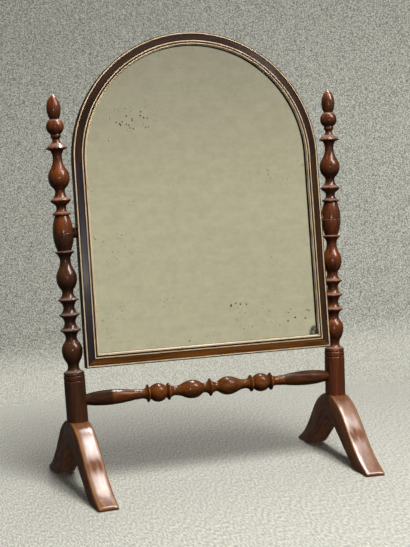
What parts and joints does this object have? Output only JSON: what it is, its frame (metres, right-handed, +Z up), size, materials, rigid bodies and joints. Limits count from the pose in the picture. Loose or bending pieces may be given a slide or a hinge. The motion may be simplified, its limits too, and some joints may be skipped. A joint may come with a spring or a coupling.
{
  "type": "table mirror",
  "caption": "Table swing mirror: an arched, veneered frame with light stringing tilts on brass pins between turned wooden posts on arched feet.",
  "frame": {"origin": "on the floor, midway between the feet", "axes": "+Z up, +X to the right of a person facing the mirror, +Y away from that person"},
  "size_m": [0.4846, 0.3222, 0.7024],
  "materials": {
    "mahogany": "polished red-brown",
    "frame_wood": "dark polish",
    "dark_veneer": "polished veneer",
    "stringing": "polished, aged",
    "glass": "clear",
    "silvering": "aged silvering",
    "pale_wood": "bare, aged",
    "brass": "tarnished",
    "iron": "dull",
    "leather": "worn"
  },
  "bodies": {
    "stand": {"left_leg": "mahogany", "right_leg": "mahogany", "left_lower_post": "mahogany", "right_lower_post": "mahogany", "left_upper_post": "mahogany", "right_upper_post": "mahogany", "stretcher": "mahogany"},
    "mirror": {"arch_rail": "frame_wood", "left_stile": "frame_wood", "right_stile": "frame_wood", "bottom_rail": "frame_wood", "corner_keys": "frame_wood", "stile_dowels": "pale_wood", "arch_veneer": "dark_veneer", "left_stile_veneer": "dark_veneer", "right_stile_veneer": "dark_veneer", "bottom_veneer": "dark_veneer", "outer_stringing_hoop": "stringing", "outer_stringing_foot": "stringing", "inner_stringing_hoop": "stringing", "inner_stringing_foot": "stringing", "sight_stringing_hoop": "stringing", "sight_stringing_foot": "stringing", "mirror_glass": "glass", "silvering": "silvering", "glazing_blocks": "pale_wood", "backboard_left": "pale_wood", "backboard_centre": "pale_wood", "backboard_right": "pale_wood", "backboard_nails": "iron", "left_pivot_plate": "brass", "right_pivot_plate": "brass", "left_plate_screws": "brass", "right_plate_screws": "brass", "left_pivot_pin": "brass", "right_pivot_pin": "brass", "left_pivot_washer": "leather", "right_pivot_washer": "leather"}
  },
  "joints": [
    {"name": "mirror_tilt", "type": "hinge", "parent": "stand", "child": "mirror", "pos_m": [0, 0, 0.39353], "axis": [1, 0, 0], "range_deg": [-170, 175]}
  ]
}
